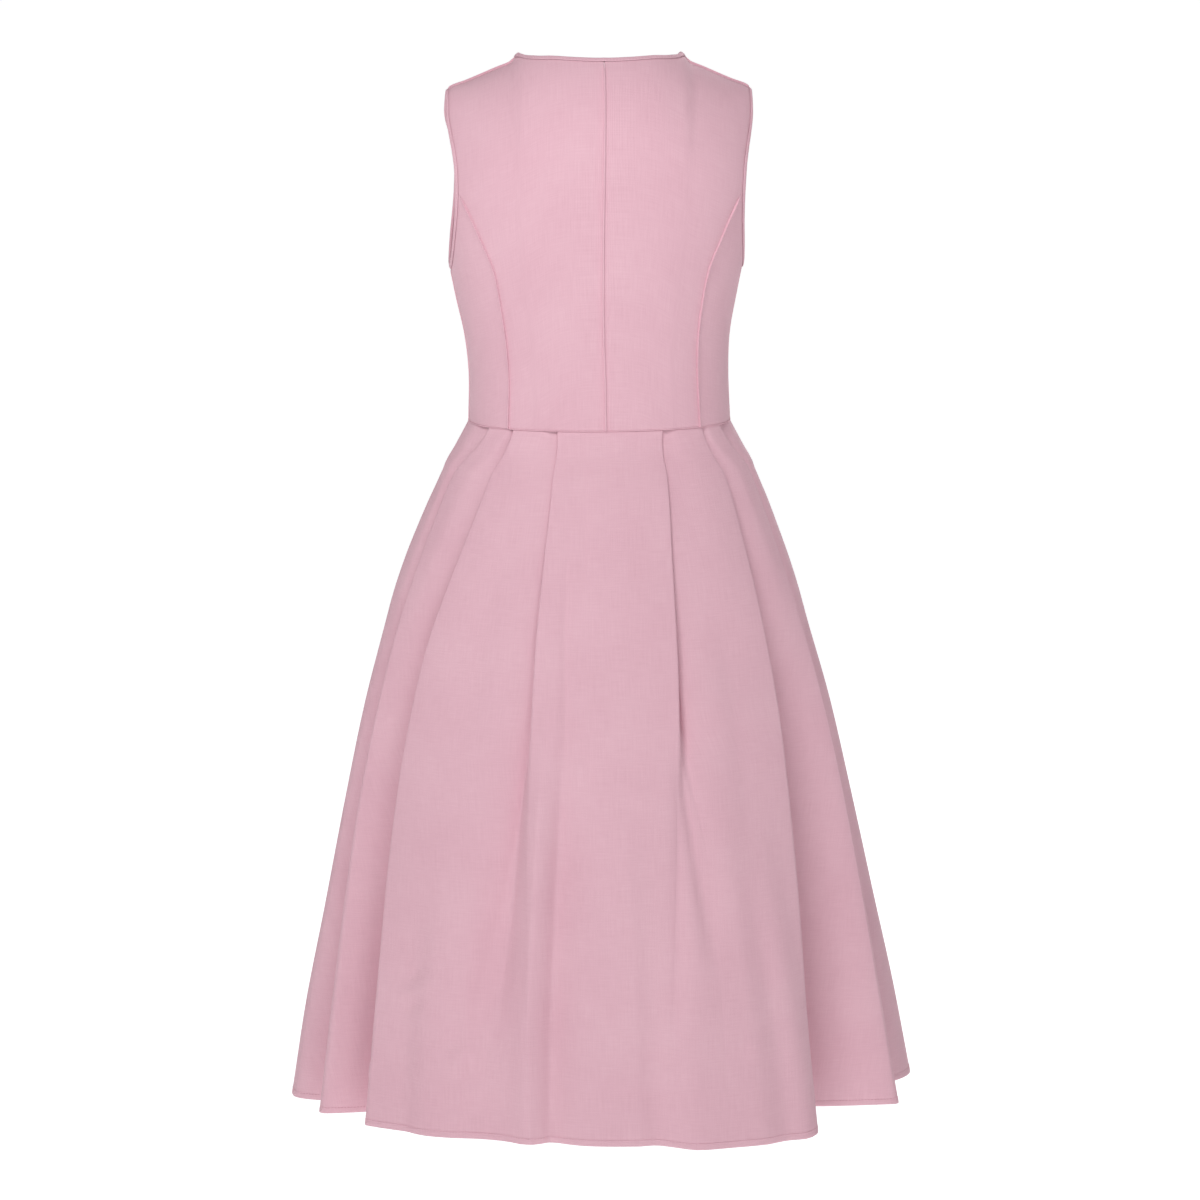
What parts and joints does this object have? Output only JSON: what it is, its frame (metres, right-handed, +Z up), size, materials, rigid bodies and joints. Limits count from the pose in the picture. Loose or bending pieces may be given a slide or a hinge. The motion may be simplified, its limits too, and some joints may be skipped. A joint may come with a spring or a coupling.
{
  "type": "dirndl dress",
  "caption": "Sleeveless folk dress, filled out with no wearer: fitted princess-seam bodice with bound neck and armholes, and a flared, pleated midi skirt.",
  "frame": {"origin": "midway between the neck ends of the two shoulder seams, where the wearer's shoulders hold the dress up", "axes": "+Z up, +Y out of the wearer's back, +X to the wearer's left"},
  "size_m": [0.6686, 0.5632, 1.1089],
  "materials": {
    "dress_cotton": "matte plain-weave cotton, pale pink",
    "binding_cotton": "the same cotton, cut on the bias and folded round the edge"
  },
  "bodies": {
    "root": {"bodice_back_left": "dress_cotton", "bodice_back_right": "dress_cotton", "bodice_back_side_left": "dress_cotton", "bodice_back_side_right": "dress_cotton", "bodice_front_left": "dress_cotton", "bodice_front_right": "dress_cotton", "bodice_front_side_left": "dress_cotton", "bodice_front_side_right": "dress_cotton", "skirt_back": "dress_cotton", "skirt_front": "dress_cotton", "neck_binding": "binding_cotton", "armhole_binding_left": "binding_cotton", "armhole_binding_right": "binding_cotton"}
  },
  "joints": []
}
